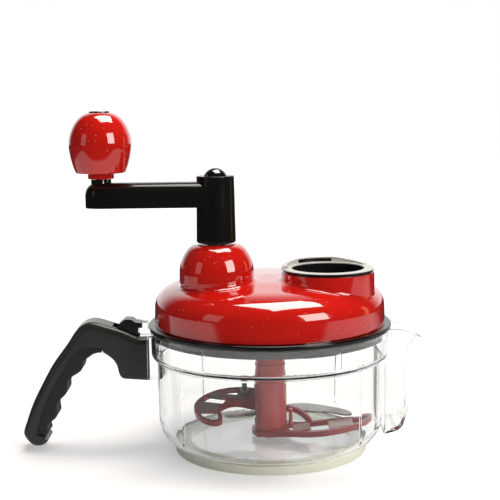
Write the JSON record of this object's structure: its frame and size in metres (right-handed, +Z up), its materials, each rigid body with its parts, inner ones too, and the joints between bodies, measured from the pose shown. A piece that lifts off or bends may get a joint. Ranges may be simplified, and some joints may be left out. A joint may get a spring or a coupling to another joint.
{
  "type": "hand-cranked food processor",
  "caption": "Hand-cranked food processor: clear bowl with pouring lip and side handle, geared lid with feed chute, crank arm with turning knob, and a slotted bladed tool inside.",
  "frame": {"origin": "centre of the base ring's underside, on the bowl's axis", "axes": "+Z up along the bowl axis, +X towards the pouring lip, handle and crank arm towards -X, -Y is the side that the picture shows"},
  "size_m": [0.2844, 0.172, 0.2407],
  "materials": {
    "clear_bowl": "clear, polished",
    "pale_ring": "matt",
    "steel": "fine turned",
    "blade_steel": "polished",
    "black_gloss": "gloss",
    "black_grip": "satin",
    "black_lever": "gloss",
    "smoke_lid": "smoked, gloss",
    "red_gloss": "gloss",
    "red_tower": "gloss",
    "red_knob": "gloss",
    "black_liner": "gloss",
    "pale_rim": "satin",
    "nylon": "matt",
    "black_arm": "gloss",
    "black_cap": "gloss",
    "black_coupling": "satin",
    "red_tube": "gloss, slightly clear",
    "red_frame": "gloss",
    "dark_peg": "gloss"
  },
  "bodies": {
    "bowl": {"bowl": "clear_bowl", "base_ring": "pale_ring", "pivot_pin": "steel", "handle_shell": "black_gloss", "handle_grip": "black_grip", "handle_screws": "steel", "latch_pin": "steel", "latch_spring": "steel"},
    "latch": {"latch_lever": "black_lever"},
    "lid": {"lid_base": "smoke_lid", "lid_cover": "red_gloss", "crank_tower": "red_tower", "chute_liner": "black_liner", "chute_rim": "pale_rim", "upper_bushing": "nylon", "lower_bushing": "nylon", "drive_bushing": "nylon", "cover_screws": "steel"},
    "crank": {"crank_shaft": "steel", "crank_gear": "nylon", "gear_clip": "steel", "crank_arm": "black_arm", "crank_screw": "steel", "hub_cap": "black_cap", "knob_spindle": "steel"},
    "knob": {"knob_shell": "red_knob", "knob_cap": "black_cap"},
    "drive": {"drive_coupling": "black_coupling", "drive_pinion": "nylon", "drive_screw": "steel"},
    "tool": {"tool_tube": "red_tube", "tool_bush": "nylon", "upper_frame": "red_frame", "lower_frame": "red_frame", "chopping_blades": "blade_steel", "upper_peg": "dark_peg", "lower_peg": "red_tube"}
  },
  "joints": [
    {"name": "latch_press", "type": "hinge", "parent": "bowl", "child": "latch", "pos_m": [-0.0995, 0, 0.0825], "axis": [0, -1, 0], "range_deg": [0, 12], "stiffness_Nm_per_rad": 0.08, "springref_deg": -5.73, "deforming": ["latch_spring"]},
    {"name": "lid_lift", "type": "slide", "parent": "bowl", "child": "lid", "axis": [0, 0, 1], "range_m": [0, 0.12]},
    {"name": "crank_turn", "type": "hinge", "parent": "lid", "child": "crank", "pos_m": [-0.03637, -0.021, 0.12], "axis": [0, 0, 1], "continuous": true},
    {"name": "knob_spin", "type": "hinge", "parent": "crank", "child": "knob", "pos_m": [-0.11407, -0.021, 0.21], "axis": [0, 0, 1], "continuous": true},
    {"name": "drive_spin", "type": "hinge", "parent": "lid", "child": "drive", "pos_m": [0, 0, 0.09], "axis": [0, 0, 1], "continuous": true},
    {"name": "tool_spin", "type": "hinge", "parent": "bowl", "child": "tool", "pos_m": [0, 0, 0.03], "axis": [0, 0, 1], "continuous": true}
  ],
  "couplings": [
    {"joint": "drive_spin", "follows": "crank_turn", "ratio": -3.6667},
    {"joint": "tool_spin", "follows": "crank_turn", "ratio": -3.6667}
  ]
}
